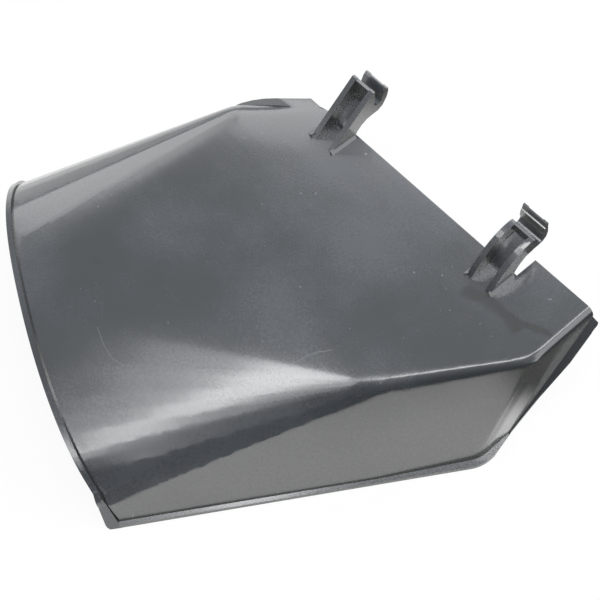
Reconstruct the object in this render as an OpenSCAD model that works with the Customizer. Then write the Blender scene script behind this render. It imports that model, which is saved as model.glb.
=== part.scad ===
// Side discharge adapter: a hooded chute that hangs on a hinge rod
// by two open hooks. One moulded piece, open below, at the outlet
// and at the inlet. X runs along the hinge rod, Y towards the mower.

/* [Hood] */
// Height of the top plate above the ground
hood_height = 95; // [80:1:115]
// Wall thickness of the moulding
wall = 3; // [2.4:0.1:4]
// Radius of the rounding along the near side
edge_r = 11; // [7:0.5:14]
// Radius of the rounding along the neck
neck_edge_r = 7; // [6:0.5:12]
// Radius of the rounding at the far corner
far_edge_r = 25; // [15:1:30]
// Plan direction of the near side wall
near_dir = 58.3; // [54:0.1:62]
// Distance of the near wall's foot from the hinge middle
near_off = 184.2; // [175:0.2:200]
// Outward lean of the near side wall
near_flare = 17.3; // [12:0.1:22]
// Plan direction of the far side wall
far_dir = 62; // [58:0.5:66]
// Plan direction of the far neck wall
far_neck_dir = 48; // [44:0.5:52]
// Where the far wall bends into its neck
far_bend = 36; // [10:1:50]
// Where the plate bends into the arch, near side
crease_near = 144; // [125:1:160]
// Where the plate bends into the arch, far side
crease_far = 58; // [50:1:70]
// Sideways place of that far corner
crease_far_x = 149; // [140:1:155]
// Length over which the near edge turns down
crease_run = 18; // [10:1:26]
// Inward step of the edge at that turn
crease_in = 2; // [0:0.5:4]

/* [Inlet] */
// Distance of the neck wall from the hinge middle
neck_x = 162; // [150:0.5:185]
// Outward lean of the neck wall
neck_flare = 3.4; // [0:0.2:5]
// Plan radius between the neck and the near wall
neck_corner_r = 27; // [15:1:35]
// Plan radius of the plate above that corner
plate_corner_r = 36; // [20:1:44]
// How far the tab reaches past the inlet edge
tab_depth = 20; // [10:1:26]
// Distance of the tab's step from the hinge middle
tab_step = 98.5; // [94:0.5:110]
// Where the slanting lower edge leaves the ground
cut_start = 55; // [45:1:70]
// Slope of that lower edge
cut_angle = 47.4; // [40:0.2:52]
// Sideways tilt of the same edge
cut_tilt = 8.8; // [0:0.2:10]
// Distance of the lower edge under the plate where the slope ends
edge_gap = 7; // [5:0.5:10]

/* [Outlet] */
// Foot of the outlet plane, sideways
lip_x = 18.7; // [5:0.2:30]
// Length of the hood from the inlet edge to the outlet's foot
hood_length = 318; // [300:1:335]
// Plan direction of the outlet plane
lip_dir = -24.9; // [-30:0.1:-20]
// Outward lean of the outlet plane
lip_lean = 15.5; // [8:0.5:20]
// Middle of the arch along the outlet plane
arch_mid = 154.6; // [150:0.2:165]
// Half width of the arch
arch_a = 146.4; // [140:0.2:152]
// Height of the arch in the outlet plane
arch_b = 94; // [78:0.5:97]
// Squareness of the arch
arch_n = 2.2; // [1.9:0.05:2.6]
// Height of the short wall beside the arch
near_crest = 20; // [12:0.5:26]
// Width of the raised band round the outlet
band_w = 4.4; // [3:0.1:10]
// Height of the band above the arch
band_rise = 2.2; // [1:0.1:4]
// Width of the groove beside the band
groove_w = 1.2; // [0.8:0.1:2.5]
// Depth of that groove
groove_d = 1.1; // [0.5:0.1:1.8]
// Width of the band at its foot beside the near wall
foot_w = 10.4; // [7:0.2:14]
// Height over which the band widens to that foot
foot_h = 34; // [24:1:44]

/* [Rim] */
// Width of the rim flange
flange_w = 5.6; // [3:0.1:9]
// Thickness of the rim flange
flange_t = 2.6; // [1.8:0.1:4]
// Width that is left beside the neck
neck_flange_w = 0.7; // [0.4:0.1:2.4]
// Width of the flange at the inlet end of the neck
neck_end_w = 2.6; // [2:0.1:5]
// Length over which it widens there
neck_end_l = 30; // [16:1:40]
// Distance of the flange's end from the edge of the tab
flange_stop = 5; // [2:0.5:8]

/* [Hinge hooks] */
// Distance between the two hooks
hook_pitch = 170; // [150:1:176]
// Width of a hook
hook_w = 23.4; // [18:0.2:28]
// Thickness of a hook's side plates
arm_t = 4.6; // [3:0.1:6]
// Length of the arms along the plate
hook_back = 27; // [20:0.5:36]
// Width of the fillet at the foot of the arms
foot_fillet = 2.2; // [1:0.1:4]
// Distance of the rod axis past the inlet edge
seat_y = 21; // [16:0.5:28]
// Height of the rod axis above the plate
seat_z = 24.6; // [18:0.2:32]
// Radius of the rod seat
seat_r = 4.1; // [3:0.05:6]
// Thickness of the clip round the seat
clip_t = 4.4; // [3:0.1:6]
// Thickness of the web between the arms
web_t = 3.3; // [2.4:0.1:5]

/* [Hidden] */
film = 0.4;
over = 1;
block = 700;
reach = 44;
reach_gap = 20;
lip_step = 0.4;
mouth_step = 0.5;
sink = 10;
sink_step = 2;
foot_past = 0.6;
foot_more = flange_w - band_rise + foot_past;
band_end = groove_w + band_w;
fillet_front = 2;
fillet_past = 0.6;
lip_foot = [lip_x, -hood_length];
lip_along = [cos(lip_dir), sin(lip_dir)];
lip_out = [sin(lip_dir), -cos(lip_dir)];
near_n = [sin(near_dir), -cos(near_dir)];
corner_r = neck_corner_r;
corner_x = neck_x - corner_r;
corner_y = (corner_x * near_n[0] - near_off + corner_r) / cos(near_dir);
neck_top = neck_x - (hood_height - neck_edge_r) * tan(neck_flare) - neck_edge_r / cos(neck_flare);
plate_x = neck_top - plate_corner_r;
plate_y = (plate_x * near_n[0] - near_top(neck_edge_r) + plate_corner_r) / cos(near_dir);
far_foot = lip_point(-arch_mid - arch_a, 0);
far_bend_x = far_foot[0] + (-far_bend - far_foot[1]) / tan(far_dir);
centre = [-46.49, -149.43];
hook_half = hook_pitch / 2;
seat = [seat_y, seat_z];
clip_r = seat_r + clip_t;
clip_inset = 0.4;
web_inset = 0.4;

// X on the near wall's line for a given Y and distance
function near_x(y, off) = (off + y * cos(near_dir)) / sin(near_dir);

// Distance of the plate's edge, above a rounding of radius r
function near_top(r) = near_off - (hood_height - r) * tan(near_flare) - r / cos(near_flare);

// Place along the outlet plane where the near wall stands at height z
function near_t(z, g) = (near_off + g / cos(near_flare) - z * tan(near_flare)
    - near_n * lip_foot - near_n * lip_out * z * tan(lip_lean)) / (near_n * lip_along);
function lip_point(t, s) = lip_foot + t * lip_along + s * lip_out;
function arch_point(q, g) = [
    (arch_a + g) * sign(cos(q)) * pow(abs(cos(q)), 2 / arch_n) - arch_mid,
    (arch_b + g) * pow(sin(q), 2 / arch_n)];

// Outline of the arch in the outlet plane, larger by g, wider by foot at the ground
function arch_outline(g, low, foot) = concat(
    [[near_t(low, g) + foot * (near_crest - low) / near_crest, low / cos(lip_lean)]],
    [[near_t(near_crest, g), near_crest / cos(lip_lean)]],
    [for (q = [27:3:177]) arch_point(q, g)],
    [[-arch_mid - arch_a - g, low / cos(lip_lean)]]);

// Outline of the foot of the walls, larger by g
function foot_outline(g, s, past) = concat(
    [lip_point(near_t(0, g), s)],
    [for (q = [near_dir - 90:4.53:0]) [corner_x + (corner_r + g) * cos(q),
        corner_y + (corner_r + g) * sin(q)]],
    [[neck_x + g, corner_y], [neck_x + g, past]],
    [[far_bend_x - g + (past + far_bend) / tan(far_neck_dir), past]],
    [[far_bend_x - g, -far_bend]],
    [lip_point(-arch_mid - arch_a - g, s)]);

// Button with a quarter round edge, for the corners of the plate
module plate_corner(x, y, r, g) {
    translate([x, y, hood_height - r])
        rotate_extrude($fn = 48)
            polygon(concat([[0, 0]], [for (q = [0:10:90]) (r + g) * [cos(q), sin(q)]]));
}

module lip_plane(s) {
    translate([lip_x, -hood_length, 0])
        rotate([90 + lip_lean, 0, lip_dir])
            translate([0, 0, s])
                children();
}

// The hood as a solid, larger by g on every side
module hood_solid(g, low, s, past) {
    hull() {
        plate_corner(neck_top, past, neck_edge_r, g);
        for (q = [0:0.25:1])
            plate_corner(plate_x + plate_corner_r * cos(q * (near_dir - 90)),
                plate_y + plate_corner_r * sin(q * (near_dir - 90)), neck_edge_r, g);
        plate_corner(near_x(crease_run - crease_near, near_top(edge_r)), crease_run - crease_near,
            edge_r, g);
        plate_corner(near_x(-crease_near, near_top(edge_r)) - crease_in, -crease_near, edge_r, g);
        plate_corner(-crease_far_x, -crease_far, far_edge_r, g);
        plate_corner(-crease_far_x + (past + crease_far) / tan(far_neck_dir), past, far_edge_r, g);
        translate([0, 0, low])
            linear_extrude(height = film)
                polygon(foot_outline(g, s, past));
        lip_plane(s - film)
            linear_extrude(height = film)
                polygon(arch_outline(g, low, 0));
    }
}

// Slab that lies along the slanting lower edge
module slant_slab(low, high) {
    translate([neck_x, -cut_start, 0])
        rotate([cut_angle, cut_tilt, 0])
            translate([-block, -block / 2, low])
                cube([block * 1.2, block, high - low]);
}

// Space under the sloping lower edge, up to where its slope ends, higher by g
module under_edge(g) {
    intersection() {
        slant_slab(-block, g);
        translate([-block / 2, -block, -over])
            cube([block, 2 * block, over + hood_height - edge_gap + g]);
    }
}

// Solid with the outline of the arch, between two distances from the outlet
module lip_prism(back, front, g, low, foot) {
    lip_plane(back)
        linear_extrude(height = front - back)
            polygon(arch_outline(g, low, foot));
}

module rim_flange() {
    intersection() {
        hood_solid(flange_w, 0, groove_w + over, reach);
        union() {
            translate([-block / 2, -block, 0])
                cube([block, block, flange_t]);
            under_edge(flange_t);
        }
    }
}

// Part of the flange that is left off beside the neck
module neck_relief() {
    more = neck_end_w - neck_flange_w;
    translate([neck_x + neck_flange_w, 0, -over])
        linear_extrude(height = hood_height)
            polygon([[0, over - cut_start], [flange_w, corner_y], [block, corner_y], [block, reach],
                [0, reach], [0, tab_depth - flange_stop], [more, tab_depth - flange_stop],
                [more, over], [0, over - neck_end_l]]);
}

// Widening of the band at the foot of the near wall
module band_foot() {
    low = sink + sink_step;
    intersection() {
        lip_prism(groove_w, foot_w, band_rise, -low, foot_more);
        lip_plane(0)
            translate([-foot_h, 0, 0])
                rotate([90, 0, 90])
                    linear_extrude(height = 2 * foot_h)
                        polygon([[-low, groove_w + over], [-low, foot_w - 3], [0.3 * foot_w, foot_w - 1],
                            [0.46 * foot_w, foot_w - 0.2], [0.68 * foot_w, foot_w],
                            [0.37 * foot_h, foot_w - 1], [0.65 * foot_h, (foot_w + band_end) / 2 - 0.4],
                            [foot_h, band_end - 0.2], [foot_h, groove_w + over]]);
    }
}

// The shell with its flange and the band round the outlet, open at both ends and below
module hood() {
    difference() {
        union() {
            hood_solid(0, 0, 0, reach);
            difference() {
                rim_flange();
                neck_relief();
            }
            lip_prism(-2 * over, groove_w + over, -groove_d, -sink, 0);
            lip_prism(groove_w, band_end, band_rise, -sink - sink_step, foot_more);
            band_foot();
        }
        hood_solid(-wall, -over, -mouth_step, reach + reach_gap);
        lip_prism(-1.5 * over, foot_w + over, -wall - lip_step, -sink - 2 * sink_step, 0);
        under_edge(0);
        translate([-block, 0, -over])
            cube([block + tab_step, block, block]);
        translate([tab_step - over, tab_depth, -over])
            cube([block, block, block]);
        translate([-block / 2, -block, -block])
            cube(block);
    }
}

// Flat piece of a hook: an outline seen from the side, w wide
module side_piece(x, w, points) {
    translate([x, 0, hood_height])
        rotate([90, 0, 90])
            linear_extrude(height = w)
                polygon(points);
}

// Front line of an arm, in clip radii from the rod axis, then down to the plate
far_line = [[0.65, -1.05], [0.09, -1.39], [-0.59, -1.41], [-1.27, -1.51], [-1.93, -1.87]];
near_line = [[0.53, -0.68], [0, -0.82], [-0.53, -0.84], [-1.55, -1.07], [-2.16, -1.66]];
far_front = concat([for (p = far_line) seat + clip_r * p], [[0, 4], [-1.6, -over]]);
near_front = concat([for (p = near_line) seat + clip_r * p], [[-1, 4.4], [-2, -over]]);

// Top of the far hook's arm and leg, and its outline with a straight back
far_top = [[-0.71, 1.67], [-0.52, 1.64], [0, 1.58], [0.96, 1.02], [1.2, 0.94], [1.24, 0.41],
    [1.09, -0.25]];
far_arm = concat([[-hook_back, -over], [-hook_back, 0]], [for (p = far_top) seat + clip_r * p],
    far_front);

// Top of the near hook's arm and leg, and its outline with a swept back
near_top_line = [[-0.71, 0.81], [0.14, 0.81], [0.14, 1.99], [0.55, 2.02], [0.66, 1.34], [0.8, 0.81],
    [0.88, 0.35], [0.84, -0.28]];
near_arm = concat([[-hook_back, -over]],
    [for (q = [0:0.125:1]) [-hook_back + q * (hook_back + seat_y - clip_r),
        (seat_z + 0.86 * clip_r) * (1 - pow(1 - q, 2.2))]],
    [for (p = near_top_line) seat + clip_r * p],
    near_front);

// Mouth of a hook, in seat radii from the rod axis, up its back side and down its leg
far_mouth = [[-0.88, -0.12], [-0.95, 2.27], [-1.02, 7], [2.05, 7], [2.05, 2.1], [1.49, 1.46],
    [0.88, -0.12]];
near_mouth = [[-0.78, -0.29], [-1.37, 0.59], [-1.44, 2.9], [-1.44, 7], [0.73, 7], [0.73, 2.93],
    [0.49, 2.83], [0.54, 1.56], [0.78, -0.29]];

// Clip between the arms, in clip radii from the rod axis
far_clip = [[-0.79, 1.59], [-0.79, -0.12], [-0.69, -0.56], [-0.59, -1.13], [-0.58, -1.35],
    [0.08, -1.34], [0.61, -1.01], [1.05, -0.24], [1.19, 0.41], [1.15, 0.91], [0.94, 0.98], [0, 1.52]];
near_clip = [[-0.98, 0.81], [-0.93, 0.12], [-0.78, -0.38], [-0.56, -0.79], [0, -0.78], [0.51, -0.64],
    [0.79, -0.27], [0.84, 0.35], [0.75, 0.8], [0.61, 1.33], [0.51, 1.98], [0.12, 1.94], [0.12, 0.75]];

// Direction across an open line at its point i, to the left of its run
function across(line, i) =
    let (a = line[max(i - 1, 0)], b = line[min(i + 1, len(line) - 1)])
        [b[1] - a[1], a[0] - b[0]] / norm(b - a);

// Strip along an open line, between two distances from it
function strip(line, inner, outer) = let (last = len(line) - 1) concat(
    [for (i = [0:last]) line[i] + inner * across(line, i)],
    [for (i = [last:-1:0]) line[i] + outer * across(line, i)]);

// Side outline, set at the rod axis and grown by size
module at_seat(x, w, size, points) {
    side_piece(x, w, [for (p = points) seat + size * p]);
}

module hinge_hook(x, arm, front, clip, mouth) {
    translate([x - hook_w / 2, 0, 0]) {
        difference() {
            union() {
                side_piece(0, arm_t, arm);
                side_piece(hook_w - arm_t, arm_t, arm);
                at_seat(clip_inset, hook_w - 2 * clip_inset, clip_r, clip);
                side_piece(arm_t - over, hook_w - 2 * arm_t + 2 * over,
                    strip(front, web_inset, web_inset + web_t));
            }
            translate([-over, seat_y, hood_height + seat_z])
                rotate([90, 0, 90])
                    cylinder(h = hook_w + 2 * over, r = seat_r, $fn = 64);
            at_seat(-over, hook_w + 2 * over, seat_r, mouth);
        }
        for (side = [0, 1])
            translate([side * hook_w, -fillet_front, hood_height])
                mirror([1 - side, 0, 0])
                    rotate([90, 0, 0])
                        linear_extrude(height = hook_back - fillet_front + fillet_past)
                            polygon([[-over, -over], [foot_fillet + over, -over],
                                [-over, foot_fillet + over]]);
    }
}

module discharge_chute() {
    color([0.2, 0.21, 0.22])
        translate([-centre[0], -centre[1], 0]) {
            hood();
            hinge_hook(-hook_half, far_arm, far_front, far_clip, far_mouth);
            hinge_hook(hook_half, near_arm, near_front, near_clip, near_mouth);
        }
}

discharge_chute();
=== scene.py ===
import logging
import math
from dataclasses import dataclass, field
from enum import Enum
from typing import Callable, Sequence

import bmesh
import bpy
import numpy as np
from bpy.types import Material, Mesh, Node, NodeTree, Object
from mathutils import Euler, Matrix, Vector


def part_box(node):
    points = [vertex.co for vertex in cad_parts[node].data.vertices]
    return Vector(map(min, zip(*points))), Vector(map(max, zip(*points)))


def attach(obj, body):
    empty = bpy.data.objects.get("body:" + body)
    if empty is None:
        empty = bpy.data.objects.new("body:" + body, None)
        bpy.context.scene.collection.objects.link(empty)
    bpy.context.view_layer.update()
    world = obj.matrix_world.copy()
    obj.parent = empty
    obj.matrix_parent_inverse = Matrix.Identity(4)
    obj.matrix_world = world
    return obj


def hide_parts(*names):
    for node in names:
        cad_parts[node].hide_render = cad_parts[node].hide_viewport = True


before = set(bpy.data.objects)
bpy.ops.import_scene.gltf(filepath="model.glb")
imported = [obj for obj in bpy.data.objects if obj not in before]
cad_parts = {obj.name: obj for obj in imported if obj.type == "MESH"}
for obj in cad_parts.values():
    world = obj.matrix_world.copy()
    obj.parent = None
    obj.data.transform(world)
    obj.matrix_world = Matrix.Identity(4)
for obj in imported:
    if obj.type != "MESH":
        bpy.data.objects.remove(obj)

LOG = logging.getLogger("chute")
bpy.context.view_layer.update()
NODE = "discharge_chute"
BODY = "root"
LINE_CORE = 0.4  # share of a line's half width that is fully marked
Triple = tuple[float, float, float]


class Lamp(Enum):
    """The lamps of the soft studio light."""

    STRIP = "overhead_strip"
    SKIRT = "strip_skirt"
    SHORT_STRIP = "short_strip"
    PANEL = "rear_panel"
    FILL = "right_fill"
    LEFT = "left_fill"


class Bend(Enum):
    """The bends of the merged surface, as the angle in degrees above or below which they count."""

    FLAT = 0.5
    SHARP = 40.0


@dataclass(frozen=True)
class NodeKit:
    """Short calls that add nodes to a material's tree."""

    tree: NodeTree

    def add(self, kind: str, **settings: object) -> Node:
        """Adds a node and sets its properties.

        Args:
            kind: Blender's name of the node type.
            **settings: Properties of the node.

        Returns:
            The new node.
        """
        node = self.tree.nodes.new(kind)
        for name, value in settings.items():
            setattr(node, name, value)
        return node

    def link(self, out: object, into: object) -> None:
        """Joins an output socket to an input socket."""
        self.tree.links.new(out, into)

    def noise(self, place: object, scale: float, detail: float = 3.0,
              rough: float = 0.5) -> object:
        """Adds a noise pattern.

        Args:
            place: Socket with the coordinates.
            scale: Repeats per metre.
            detail: Number of finer layers.
            rough: Strength of the finer layers.

        Returns:
            The pattern's value socket.
        """
        node = self.add("ShaderNodeTexNoise")
        node.inputs["Scale"].default_value = scale
        node.inputs["Detail"].default_value = detail
        node.inputs["Roughness"].default_value = rough
        self.link(place, node.inputs["Vector"])
        return node.outputs["Fac"]

    def ramp(self, value: object, low: float, high: float, first: float, last: float) -> object:
        """Maps a value smoothly from one range to another.

        Args:
            value: Socket with the value.
            low: Start of the input range.
            high: End of the input range.
            first: Result at the start.
            last: Result at the end.

        Returns:
            The mapped value socket.
        """
        node = self.add("ShaderNodeMapRange", interpolation_type="SMOOTHSTEP")
        for name, number in (("From Min", low), ("From Max", high),
                             ("To Min", first), ("To Max", last)):
            node.inputs[name].default_value = number
        self.link(value, node.inputs["Value"])
        return node.outputs["Result"]

    def math(self, operation: str, left: object, right: object) -> object:
        """Calculates with two sockets or numbers.

        Args:
            operation: Blender's name of the calculation.
            left: First socket or number.
            right: Second socket or number.

        Returns:
            The result socket.
        """
        node = self.add("ShaderNodeMath", operation=operation)
        for slot, value in zip(node.inputs, (left, right)):
            if isinstance(value, (int, float)):
                slot.default_value = float(value)
            else:
                self.link(value, slot)
        return node.outputs["Value"]

    def mix(self, share: object, base: object, top: object) -> object:
        """Mixes two colours.

        Args:
            share: Socket with the share of the upper colour.
            base: Socket or colour below.
            top: Socket or colour above.

        Returns:
            The mixed colour socket.
        """
        node = self.add("ShaderNodeMix", data_type="RGBA", blend_type="MIX")
        self.link(share, node.inputs["Factor"])
        for slot, value in ((node.inputs[6], base), (node.inputs[7], top)):
            if isinstance(value, tuple):
                slot.default_value = (*value, 1.0)
            else:
                self.link(value, slot)
        return node.outputs[2]

    def mapped(self, place: object, scale: Sequence[float],
               turn: Sequence[float] = (0.0, 0.0, 0.0)) -> object:
        """Turns and stretches coordinates.

        Args:
            place: Socket with the coordinates.
            scale: Stretch on each axis.
            turn: Turn on each axis in degrees.

        Returns:
            The new coordinates socket.
        """
        node = self.add("ShaderNodeMapping")
        node.inputs["Scale"].default_value = scale
        node.inputs["Rotation"].default_value = [math.radians(a) for a in turn]
        self.link(place, node.inputs["Vector"])
        return node.outputs["Vector"]

    def spot(self, place: object, centre: Sequence[float], radius: float,
             soft: float) -> object:
        """Marks a round place.

        Args:
            place: Socket with the coordinates.
            centre: Middle of the place in metres.
            radius: Its radius in metres.
            soft: Width of its soft edge in metres.

        Returns:
            A value socket, 1 inside and 0 outside.
        """
        node = self.add("ShaderNodeVectorMath", operation="DISTANCE")
        node.inputs[1].default_value = centre
        self.link(place, node.inputs[0])
        return self.ramp(node.outputs["Value"], radius - soft, radius + soft, 1.0, 0.0)

    def fade(self, place: object, towards: Sequence[float], start: float,
             end: float) -> object:
        """Marks what lies far along a direction.

        Args:
            place: Socket with the coordinates.
            towards: Unit direction.
            start: Distance in metres where the mark starts.
            end: Distance in metres where it is full.

        Returns:
            A value socket, 0 before the start and 1 past the end.
        """
        node = self.add("ShaderNodeVectorMath", operation="DOT_PRODUCT")
        node.inputs[1].default_value = towards
        self.link(place, node.inputs[0])
        return self.ramp(node.outputs["Value"], start, end, 0.0, 1.0)

    def line(self, place: object, start: Sequence[float], end: Sequence[float],
             width: float) -> object:
        """Marks a thin straight line.

        Args:
            place: Socket with the coordinates.
            start: First end of the line in metres.
            end: Other end of the line in metres.
            width: Its half width in metres.

        Returns:
            A value socket, 1 on the line and 0 beside it.
        """
        run = [b - a for a, b in zip(start, end)]
        square = sum(r * r for r in run)
        away = self.add("ShaderNodeVectorMath", operation="SUBTRACT")
        away.inputs[1].default_value = start
        self.link(place, away.inputs[0])
        along = self.add("ShaderNodeVectorMath", operation="DOT_PRODUCT")
        along.inputs[1].default_value = [r / square for r in run]
        self.link(away.outputs[0], along.inputs[0])
        share = self.add("ShaderNodeClamp")
        self.link(along.outputs["Value"], share.inputs["Value"])
        foot = self.add("ShaderNodeVectorMath", operation="SCALE")
        foot.inputs[0].default_value = run
        self.link(share.outputs["Result"], foot.inputs["Scale"])
        gap = self.add("ShaderNodeVectorMath", operation="DISTANCE")
        self.link(away.outputs[0], gap.inputs[0])
        self.link(foot.outputs[0], gap.inputs[1])
        return self.ramp(gap.outputs["Value"], LINE_CORE * width, width, 1.0, 0.0)

    def most(self, marks: Sequence[object]) -> object:
        """Joins marks into one, the strongest at each place.

        Args:
            marks: Value sockets.

        Returns:
            The joined value socket.
        """
        joined = marks[0]
        for mark in marks[1:]:
            joined = self.math("MAXIMUM", joined, mark)
        return joined


@dataclass(frozen=True)
class Stroke:
    """A mark along a chain of points on the surface, with its half width, in metres."""

    points: tuple[Triple, ...]
    width: float = 0.0003

    def draw(self, kit: NodeKit, place: object) -> list[object]:
        """Draws the stroke piece by piece.

        Args:
            kit: Node maker of the material.
            place: Socket with the coordinates.

        Returns:
            A value socket for each piece.
        """
        return [kit.line(place, start, end, self.width)
                for start, end in zip(self.points, self.points[1:])]


@dataclass(frozen=True)
class Patch:
    """A round mark on the surface, in metres."""

    centre: Triple
    radius: float
    soft: float

    def draw(self, kit: NodeKit, place: object) -> list[object]:
        """Draws the patch.

        Args:
            kit: Node maker of the material.
            place: Socket with the coordinates.

        Returns:
            Its value socket, in a list.
        """
        return [kit.spot(place, self.centre, self.radius, self.soft)]


@dataclass(frozen=True)
class Fade:
    """A direction, and the distances along it in metres between which something fades."""

    towards: Triple
    start: float
    end: float


@dataclass(frozen=True)
class Weave:
    """A noise pattern: its repeats per metre, its finer layers and their strength."""

    scale: float
    detail: float
    rough: float = 0.5

    def draw(self, kit: NodeKit, place: object) -> object:
        """Draws the pattern.

        Args:
            kit: Node maker of the material.
            place: Socket with the coordinates.

        Returns:
            The pattern's value socket.
        """
        return kit.noise(place, self.scale, self.detail, self.rough)


@dataclass(frozen=True)
class Cut:
    """How a pattern turns into a mark: where it starts, where it ends, and from what to what."""

    low: float
    high: float
    first: float = 0.0
    last: float = 1.0

    def draw(self, kit: NodeKit, value: object) -> object:
        """Cuts a pattern.

        Args:
            kit: Node maker of the material.
            value: Socket with the pattern's value.

        Returns:
            The mark's value socket.
        """
        return kit.ramp(value, self.low, self.high, self.first, self.last)


@dataclass(frozen=True)
class MouldedFinish:
    """Glossy dark grey moulded polypropylene with a pale film, scratches, specks and dust from
    use, plus painted light: the film partly paints in a reflected haze, and steep faces get a
    painted reflection of the pale floor.
    """

    name: str = "moulded_polypropylene"
    base: Triple = (0.026, 0.030, 0.035)
    # Paler film colour; its patches also stand in as a painted reflected haze.
    pale_film_and_sheen: Triple = (0.050, 0.056, 0.066)
    oily: Triple = (0.018, 0.019, 0.017)
    # Pale greenish colour for steep faces: dust, and partly a painted reflection of the pale
    # floor.
    dust_and_floor_sheen: Triple = (0.126, 0.128, 0.106)
    bare: Triple = (0.26, 0.28, 0.29)
    dark: Triple = (0.012, 0.012, 0.013)
    rough: Cut = Cut(0.3, 0.7, 0.22, 0.28)
    gloss: float = 0.13
    index: float = 1.5
    scratches: tuple[Stroke, ...] = (
        Stroke(((-0.0269, -0.1053, 0.0912), (-0.0125, -0.1101, 0.0899),
                (-0.0011, -0.1119, 0.0885), (0.0092, -0.1093, 0.0877))),
        Stroke(((0.0903, -0.0229, 0.0939), (0.0916, -0.0099, 0.0944),
                (0.0950, -0.0015, 0.0946), (0.1000, 0.0064, 0.0948)), 0.0005),
        Stroke(((0.1039, -0.0058, 0.0946), (0.1119, -0.0073, 0.0945))),
    )
    specks: tuple[Patch, ...] = (
        Patch((-0.0088, 0.1423, 0.0950), 0.0009, 0.0005),
    )
    dark_specks: tuple[Patch, ...] = (
        Patch((-0.0705, -0.0723, 0.0919), 0.0014, 0.0008),
    )
    stains: tuple[Stroke, ...] = (
        Stroke(((0.1311, 0.1127, 0.0950), (0.1422, 0.1189, 0.0950),
                (0.1520, 0.1190, 0.0950)), 0.0085),
        Stroke(((0.1520, 0.1190, 0.0950), (0.1636, 0.1187, 0.0950),
                (0.1746, 0.1173, 0.0950)), 0.0065),
        Stroke(((0.1636, 0.1217, 0.0950), (0.1815, 0.1245, 0.0950),
                (0.1919, 0.1289, 0.0950)), 0.0040),
    )
    wander_scale: float = 60.0
    wander_reach: float = 0.012
    hair_turns: tuple[float, ...] = (12.0, 64.0, 118.0, 155.0)
    hair_stretch: Triple = (60.0, 1500.0, 60.0)
    hair: Weave = Weave(1.0, 0.0)
    hair_cut: Cut = Cut(0.83, 0.90)
    gaps: Weave = Weave(24.0, 1.0)
    gaps_cut: Cut = Cut(0.52, 0.66)
    cloud: Weave = Weave(7.0, 5.0, 0.55)
    # Where the paler film shows: random film, and partly a painted reflected haze.
    film_and_sheen_cut: Cut = Cut(0.38, 0.66)
    flow_stretch: Triple = (10.0, 46.0, 20.0)
    flow_turn: float = 28.0
    flow: Weave = Weave(1.0, 3.0)
    fine: Weave = Weave(420.0, 3.0, 0.6)
    fine_cut: Cut = Cut(0.4, 0.7, 0.0, 0.04)
    grain: Weave = Weave(1500.0, 2.0, 0.6)
    dots: Weave = Weave(300.0, 0.0)
    dots_cut: Cut = Cut(0.86, 0.89, 0.0, 0.4)
    upright: Cut = Cut(0.30, 0.44, 1.0, 0.0)
    # Share of the pale greenish tone on steep faces (dust and painted floor reflection).
    dust_and_sheen_cut: Cut = Cut(0.30, 0.70, 0.3, 0.5)
    stain_share: float = 0.6
    hair_share: float = 0.08
    scratch_share: float = 0.20
    scratch_rough: float = 0.1
    stain_gloss: float = 0.06
    flow_height: float = 0.3
    grain_height: float = 0.003
    scratch_depth: float = 0.02
    bump_strength: float = 0.5
    bump_distance: float = 0.0007

    def marks(self, kit: NodeKit, place: object, kinds: Sequence[Stroke | Patch]) -> object:
        """Joins strokes or patches into one mark.

        Args:
            kit: Node maker of the material.
            place: Socket with the coordinates.
            kinds: The strokes or patches.

        Returns:
            A value socket, up to 1 on a mark.
        """
        return kit.most([part for kind in kinds for part in kind.draw(kit, place)])

    def hairlines(self, kit: NodeKit, place: object, turn: float) -> object:
        """Draws sparse fine scratches that run one way.

        Args:
            kit: Node maker of the material.
            place: Socket with the coordinates.
            turn: Direction of the scratches in degrees.

        Returns:
            A value socket, up to 1 on a scratch.
        """
        turned = kit.mapped(place, self.hair_stretch, (0.0, 0.0, turn))
        lines = self.hair_cut.draw(kit, self.hair.draw(kit, turned))
        gaps = self.gaps_cut.draw(kit, self.gaps.draw(kit, place))
        return kit.math("MULTIPLY", lines, gaps)

    def ragged(self, kit: NodeKit, place: object) -> object:
        """Makes coordinates that wander a little, for marks with uneven outlines.

        Args:
            kit: Node maker of the material.
            place: Socket with the coordinates.

        Returns:
            The wandering coordinates socket.
        """
        reach = self.wander_reach
        wander = kit.add("ShaderNodeTexNoise")
        wander.inputs["Scale"].default_value = self.wander_scale
        kit.link(place, wander.inputs["Vector"])
        shift = kit.add("ShaderNodeVectorMath", operation="MULTIPLY_ADD")
        kit.link(wander.outputs["Color"], shift.inputs[0])
        shift.inputs[1].default_value = (reach, reach, 0.0)
        kit.link(place, shift.inputs[2])
        recentre = kit.add("ShaderNodeVectorMath", operation="SUBTRACT")
        recentre.inputs[1].default_value = (reach / 2, reach / 2, 0.0)
        kit.link(shift.outputs[0], recentre.inputs[0])
        return recentre.outputs[0]

    def build(self) -> Material:
        """Builds the material.

        Returns:
            The finished material.
        """
        material = bpy.data.materials.new(self.name)
        material.use_nodes = True
        tree = material.node_tree
        tree.nodes.clear()
        kit = NodeKit(tree)
        shader = kit.add("ShaderNodeBsdfPrincipled")
        out = kit.add("ShaderNodeOutputMaterial")
        kit.link(shader.outputs["BSDF"], out.inputs["Surface"])
        coords = kit.add("ShaderNodeTexCoord")
        place = coords.outputs["Object"]

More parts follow.
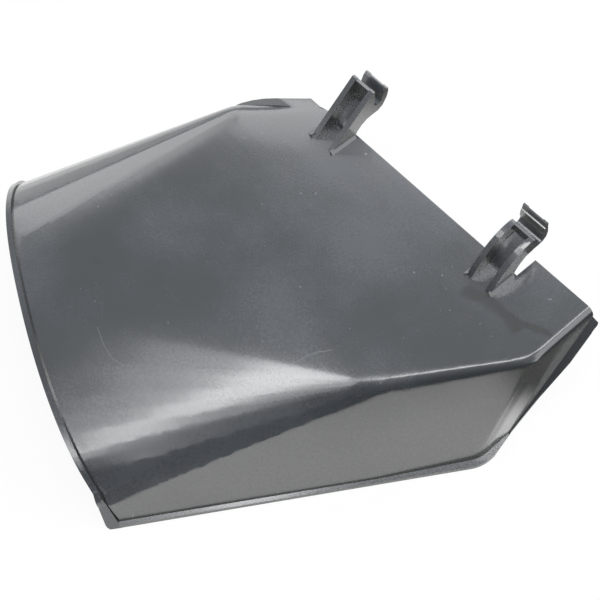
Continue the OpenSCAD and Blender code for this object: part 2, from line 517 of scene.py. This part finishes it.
        cloud = self.cloud.draw(kit, place)
        flow = self.flow.draw(kit, kit.mapped(place, self.flow_stretch,
                                              (0.0, 0.0, self.flow_turn)))
        fine = self.fine.draw(kit, place)
        grain = self.grain.draw(kit, place)
        hair = kit.most([self.hairlines(kit, place, turn) for turn in self.hair_turns])
        cut = self.marks(kit, place, self.scratches)
        speck = self.marks(kit, place, self.specks)
        dots = self.dots_cut.draw(kit, self.dots.draw(kit, place))
        dark = self.marks(kit, place, self.dark_specks)
        stain = self.marks(kit, self.ragged(kit, place), self.stains)
        facing = kit.add("ShaderNodeSeparateXYZ")
        kit.link(coords.outputs["Normal"], facing.inputs[0])
        # Steep faces get a pale greenish tone: dust, and partly a painted reflection of the floor.
        dust_and_sheen_mask = kit.math("MULTIPLY", self.upright.draw(kit, facing.outputs["Z"]),
                           self.dust_and_sheen_cut.draw(kit, cloud))

        # Paler film patches: random film, and partly a painted reflected haze on the plate.
        colour = kit.mix(self.film_and_sheen_cut.draw(kit, cloud), self.base, self.pale_film_and_sheen)
        # Lays the pale greenish tone (dust and painted floor reflection) on steep faces.
        colour = kit.mix(dust_and_sheen_mask, colour, self.dust_and_floor_sheen)
        colour = kit.mix(kit.math("MULTIPLY", stain, self.stain_share), colour, self.oily)
        colour = kit.mix(kit.math("MULTIPLY", hair, self.hair_share), colour, self.bare)
        colour = kit.mix(kit.math("MULTIPLY", cut, self.scratch_share), colour, self.bare)
        colour = kit.mix(kit.math("MAXIMUM", speck, dots), colour, self.bare)
        colour = kit.mix(dark, colour, self.dark)
        kit.link(colour, shader.inputs["Base Color"])
        worn = kit.math("MAXIMUM", hair, cut)
        rough = kit.math("ADD", self.rough.draw(kit, cloud), self.fine_cut.draw(kit, fine))
        rough = kit.math("ADD", rough, kit.math("MULTIPLY", worn, self.scratch_rough))
        rough = kit.math("SUBTRACT", rough, kit.math("MULTIPLY", stain, self.stain_gloss))
        kit.link(rough, shader.inputs["Roughness"])
        for name, value in (("IOR", self.index), ("Specular IOR Level", 1.0),
                            ("Coat Weight", 1.0), ("Coat Roughness", self.gloss),
                            ("Coat IOR", self.index)):
            shader.inputs[name].default_value = value
        height = kit.math("ADD", kit.math("MULTIPLY", flow, self.flow_height),
                          kit.math("MULTIPLY", grain, self.grain_height))
        height = kit.math("SUBTRACT", height, kit.math("MULTIPLY", worn, self.scratch_depth))
        bump = kit.add("ShaderNodeBump")
        bump.inputs["Strength"].default_value = self.bump_strength
        bump.inputs["Distance"].default_value = self.bump_distance
        kit.link(height, bump.inputs["Height"])
        for name in ("Normal", "Coat Normal"):
            kit.link(bump.outputs["Normal"], shader.inputs[name])
        return material


@dataclass(frozen=True)
class FloorFinish:
    """Matt pale paint of the floor, white to the camera and dark to reflections past a card."""

    name: str = "studio_floor"
    colour: Triple = (0.84, 0.845, 0.83)
    white: float = 0.90
    card: tuple[Fade, ...] = (
        Fade((0.851, -0.525, 0.0), 0.285, 0.325),
        Fade((0.525, 0.851, 0.0), 0.200, 0.240),
    )
    past_card: float = 0.93

    def build(self) -> Material:
        """Builds the material.

        Returns:
            The finished material.
        """
        material = bpy.data.materials.new(self.name)
        material.use_nodes = True
        tree = material.node_tree
        tree.nodes.clear()
        kit = NodeKit(tree)
        out = kit.add("ShaderNodeOutputMaterial")
        paint = kit.add("ShaderNodeBsdfDiffuse")
        paint.inputs["Color"].default_value = (*self.colour, 1.0)
        glow = kit.add("ShaderNodeEmission")
        glow.inputs["Strength"].default_value = 1.0
        path = kit.add("ShaderNodeLightPath")
        seen = kit.most([path.outputs["Is Camera Ray"], path.outputs["Is Glossy Ray"],
                         path.outputs["Is Transmission Ray"]])
        blend = kit.add("ShaderNodeMixShader")
        kit.link(kit.math("MULTIPLY", seen, self.white), blend.inputs["Fac"])
        kit.link(paint.outputs["BSDF"], blend.inputs[1])
        kit.link(glow.outputs["Emission"], blend.inputs[2])
        place = kit.add("ShaderNodeTexCoord").outputs["Object"]
        past = kit.most([kit.fade(place, fade.towards, fade.start, fade.end)
                         for fade in self.card])
        past = kit.math("MULTIPLY", past, self.past_card)
        shade = kit.add("ShaderNodeBsdfDiffuse")
        shade.inputs["Color"].default_value = (0.0, 0.0, 0.0, 1.0)
        dim = kit.add("ShaderNodeMixShader")
        kit.link(kit.math("MULTIPLY", path.outputs["Is Glossy Ray"], past), dim.inputs["Fac"])
        kit.link(blend.outputs["Shader"], dim.inputs[1])
        kit.link(shade.outputs["BSDF"], dim.inputs[2])
        kit.link(dim.outputs["Shader"], out.inputs["Surface"])
        return material


@dataclass(frozen=True)
class Plane:
    """A plane, as its outward direction and its distance from the origin in metres."""

    normal: Triple
    distance: float

    def height(self, point: Vector) -> float:
        """Returns how far a point lies outside the plane, in metres."""
        return Vector(self.normal).dot(point) - self.distance


@dataclass
class Hood:
    """The one-piece moulding with its hood, rim, band and hooks; lengths in metres."""

    bevel: float = 0.0005
    segments: int = 2
    merge: float = 0.00002
    cell: float = 0.006
    rounds: int = 40
    even_step: float = 0.6
    soften_rounds: int = 8
    soften_step: float = 0.5
    fold_strip: float = 0.0022
    wall: Plane = Plane((0.8118, -0.5015, 0.2990), 0.13872)
    chord: Plane = Plane((0.6698, -0.5202, 0.5299), 0.13826)
    arch: Plane = Plane((0.5410, -0.4850, 0.6871), 0.13517)
    alike: float = 0.9
    deepest: float = 0.006
    fill_from: float = 0.02
    lip_taper: float = 0.05
    skin: float = 0.0007
    foot_from: float = 0.002
    foot_shift: float = 0.0028
    foot_end: float = 0.008
    foot_taper: float = 0.04
    wall_top: float = 0.09
    top_level: float = 0.0952
    finish: MouldedFinish = field(default_factory=MouldedFinish)

    def cut_even(self, work: bmesh.types.BMesh) -> None:
        """Cuts the surface into even cells, so that its shading can turn gradually.

        Args:
            work: The merged surface.
        """
        low, high = (list(corner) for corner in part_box(NODE))
        for axis in range(3):
            normal = [float(axis == i) for i in range(3)]
            count = int((high[axis] - low[axis]) / self.cell)
            for step in range(1, count + 1):
                at = [n * (low[axis] + (step - 0.5) * self.cell) for n in normal]
                bmesh.ops.bisect_plane(work, geom=work.verts[:] + work.edges[:] + work.faces[:],
                                       dist=self.merge, plane_co=at, plane_no=normal)

    def even_normals(self, mesh: Mesh, fixed: np.ndarray) -> None:
        """Evens out the shading across shallow bends and keeps it at tight folds.

        Args:
            mesh: The cut surface, with its cells.
            fixed: Whether each vertex lies on a fold or a rounded edge.
        """
        points = np.array([v.co[:] for v in mesh.vertices])
        ends = np.array([e.vertices[:] for e in mesh.edges])
        normals = np.zeros_like(points)
        for face in mesh.polygons:
            normals[list(face.vertices)] += np.array(face.normal) * face.area
        normals /= np.linalg.norm(normals, axis=1, keepdims=True) + 1e-12
        loose = ~(fixed[ends[:, 0]] | fixed[ends[:, 1]])
        left, right = ends[loose, 0], ends[loose, 1]
        total = sum(np.bincount(side, minlength=len(points)) for side in (left, right))
        share = (self.even_step / np.maximum(total, 1))[:, None]
        for _ in range(self.rounds):
            turn = normals[right] - normals[left]
            change = np.zeros_like(points)
            np.add.at(change, left, turn)
            np.add.at(change, right, -turn)
            normals += share * change
        normals /= np.linalg.norm(normals, axis=1, keepdims=True) + 1e-12
        mesh.normals_split_custom_set_from_vertices(normals.tolist())

    def fill_out(self, work: bmesh.types.BMesh) -> None:
        """Fills the straight chord beside the near wall out to the arch and the wall.

        Args:
            work: The cut surface.
        """
        out = Vector(self.chord.normal)
        to_arch = out.dot(Vector(self.arch.normal))
        to_wall = out.dot(Vector(self.wall.normal))
        lip = min(v.co.y for v in work.verts)
        work.normal_update()
        for vert in work.verts:
            gap = min(-self.arch.height(vert.co) / to_arch,
                      -self.wall.height(vert.co) / to_wall)
            if (vert.normal.dot(out) < self.alike or vert.normal.z > self.arch.normal[2]
                    or not 0.0 < gap < self.deepest or vert.co.z < self.fill_from):
                continue
            share = min(1.0, max(0.0, (vert.co.y - lip) / self.lip_taper))
            vert.co += out * gap * share * share * (3.0 - 2.0 * share)

    def shift_foot(self, work: bmesh.types.BMesh) -> None:
        """Moves the foot of the near wall outwards on its flange.

        Args:
            work: The cut surface.
        """
        out = Vector((self.wall.normal[0], self.wall.normal[1], 0.0)).normalized()
        end = max(v.co.x for v in work.verts)
        for vert in work.verts:
            if (abs(self.wall.height(vert.co)) < self.skin
                    and self.foot_from < vert.co.z < self.wall_top):
                room = min(1.0, max(0.0, (end - self.foot_end - vert.co.x) / self.foot_taper))
                vert.co += out * self.foot_shift * room * (1.0 - vert.co.z / self.wall_top)

    def shell(self) -> Object:
        """Copies the solid, merges it, rounds its sharp edges and shapes its near side.

        Returns:
            The finished mesh object.
        """
        mesh = bpy.data.meshes.new("hood")
        piece = bpy.data.objects.new("moulded_hood", mesh)
        bpy.context.scene.collection.objects.link(piece)
        work = bmesh.new()
        work.from_mesh(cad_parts[NODE].data)
        bmesh.ops.remove_doubles(work, verts=work.verts, dist=self.merge)
        bmesh.ops.dissolve_limit(work, angle_limit=math.radians(Bend.FLAT.value),
                                 verts=work.verts, edges=work.edges,
                                 use_dissolve_boundaries=False)
        edge = work.faces.layers.int.new("edge")
        fold = work.faces.layers.int.new("fold")
        sharp = [e for e in work.edges
                 if e.is_manifold and e.calc_face_angle(0.0) > math.radians(Bend.SHARP.value)]
        rounded = bmesh.ops.bevel(work, geom=sharp, offset=self.bevel, offset_type="OFFSET",
                                  segments=self.segments, profile=0.5, affect="EDGES",
                                  material=-1, clamp_overlap=True)
        for face in rounded["faces"]:
            face[edge] = 1
        for face in work.faces:
            face[fold] = 2.0 * face.calc_area() / face.calc_perimeter() < self.fold_strip
            face.smooth = True
        self.cut_even(work)
        self.fill_out(work)
        self.shift_foot(work)
        fixed = np.array([any(face[fold] for face in v.link_faces) for v in work.verts])
        soft = [v for v in work.verts if v.co.z < self.top_level
                and not any(face[edge] for face in v.link_faces)]
        for _ in range(self.soften_rounds):
            bmesh.ops.smooth_vert(work, verts=soft, factor=self.soften_step, use_axis_x=True,
                                  use_axis_y=True, use_axis_z=True)
        work.faces.layers.int.remove(fold)
        work.to_mesh(mesh)
        work.free()
        self.even_normals(mesh, fixed)
        return piece

    def build(self) -> Object:
        """Builds and dresses the moulding.

        Returns:
            The finished piece.
        """
        piece = self.shell()
        piece.data.materials.append(self.finish.build())
        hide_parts(NODE)
        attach(piece, BODY)
        return piece


@dataclass(frozen=True)
class Hung:
    """A lamp's place in metres, turn in degrees, size in metres and brightness of its face.

    The turn counts from a lamp that shines down. A brightness of 1 is white.
    """

    which: Lamp
    place: Triple
    turn: Triple
    size: tuple[float, float]
    glow: float


@dataclass
class Studio:
    """The floor, lamps, world and camera."""

    floor_size: float = 60.0
    camera_place: Triple = (0.39447, -0.28498, 0.88211)
    camera_turn: Triple = (30.0, 0.0, 48.342)
    lens: float = 75.33
    sensor: float = 36.0
    clip_start: float = 0.01
    pale_side: Triple = (-0.6, 0.4, 0.7)
    sky_tint: Triple = (0.93, 0.97, 1.0)
    sky: Cut = Cut(-0.3, 0.9, 0.13, 0.50)
    lamps: tuple[Hung, ...] = (
        Hung(Lamp.STRIP, (0.80, -1.20, 0.80), (0.0, 0.0, -55.5), (3.16, 0.13), 5.6),
        Hung(Lamp.SKIRT, (0.80, -1.20, 0.81), (0.0, 0.0, -55.5), (3.16, 0.44), 1.2),
        Hung(Lamp.SHORT_STRIP, (0.29, 0.41, 0.80), (0.0, 0.0, 73.0), (0.70, 0.09), 7.0),
        Hung(Lamp.PANEL, (-0.42, 0.79, 0.72), (90.0, 0.0, 208.0), (2.6, 0.90), 1.7),
        Hung(Lamp.FILL, (1.1, 1.0, 0.9), (60.0, 0.0, 132.0), (1.5, 1.2), 1.6),
        Hung(Lamp.LEFT, (-1.2, -1.2, 0.6), (70.0, 0.0, -45.0), (1.5, 0.8), 1.6),
    )

    def floor(self) -> Object:
        """Lays the pale floor.

        Returns:
            The floor object.
        """
        mesh = bpy.data.meshes.new("floor")
        work = bmesh.new()
        bmesh.ops.create_grid(work, x_segments=1, y_segments=1, size=self.floor_size / 2)
        work.to_mesh(mesh)
        work.free()
        piece = bpy.data.objects.new("studio_floor", mesh)
        bpy.context.scene.collection.objects.link(piece)
        mesh.materials.append(FloorFinish().build())
        return piece

    def lamp(self, hung: Hung) -> Object:
        """Hangs an area lamp.

        Args:
            hung: Where it hangs, and how large and bright it is.

        Returns:
            The lamp object.
        """
        data = bpy.data.lights.new(hung.which.value, "AREA")
        data.shape = "RECTANGLE"
        data.size, data.size_y = hung.size
        data.energy = hung.glow * math.pi * hung.size[0] * hung.size[1]
        piece = bpy.data.objects.new(hung.which.value, data)
        piece.location = hung.place
        piece.rotation_euler = Euler([math.radians(a) for a in hung.turn])
        piece.visible_camera = False
        bpy.context.scene.collection.objects.link(piece)
        return piece

    def camera(self) -> Object:
        """Sets up the camera at the photograph's viewing angle.

        Returns:
            The camera object.
        """
        data = bpy.data.cameras.new("camera")
        data.sensor_width = self.sensor
        data.lens = self.lens
        data.clip_start = self.clip_start
        piece = bpy.data.objects.new("camera", data)
        piece.location = self.camera_place
        piece.rotation_euler = Euler([math.radians(a) for a in self.camera_turn])
        bpy.context.scene.collection.objects.link(piece)
        bpy.context.scene.camera = piece
        return piece

    def world(self) -> None:
        """Sets the weak light from all round, and the white that the camera sees behind it."""
        world = bpy.data.worlds.new("studio")
        bpy.context.scene.world = world
        world.use_nodes = True
        tree = world.node_tree
        kit = NodeKit(tree)
        sky = tree.nodes["Background"]
        sky.inputs["Color"].default_value = (*self.sky_tint, 1.0)
        towards = kit.add("ShaderNodeVectorMath", operation="DOT_PRODUCT")
        towards.inputs[1].default_value = self.pale_side
        kit.link(kit.add("ShaderNodeTexCoord").outputs["Generated"], towards.inputs[0])
        kit.link(self.sky.draw(kit, towards.outputs["Value"]), sky.inputs["Strength"])
        backdrop = kit.add("ShaderNodeBackground")
        backdrop.inputs["Color"].default_value = (1.0, 1.0, 1.0, 1.0)
        blend = kit.add("ShaderNodeMixShader")
        kit.link(kit.add("ShaderNodeLightPath").outputs["Is Camera Ray"], blend.inputs["Fac"])
        kit.link(sky.outputs["Background"], blend.inputs[1])
        kit.link(backdrop.outputs["Background"], blend.inputs[2])
        kit.link(blend.outputs["Shader"], tree.nodes["World Output"].inputs["Surface"])

    def build(self) -> list[Object]:
        """Builds the whole studio.

        Returns:
            Its objects.
        """
        self.world()
        lamps = [self.lamp(hung) for hung in self.lamps]
        return [self.floor(), *lamps, self.camera()]


def main() -> None:
    """Builds the studio and the moulding in order and reports each piece."""
    logging.basicConfig(level=logging.INFO)
    bpy.context.scene.view_settings.view_transform = "Standard"
    makers: list[tuple[str, Callable[[], object]]] = [
        ("studio", Studio().build),
        ("hood", Hood().build),
    ]
    for name, make in makers:
        LOG.info("%s: %s", name, make())


if __name__ == "__main__":
    main()
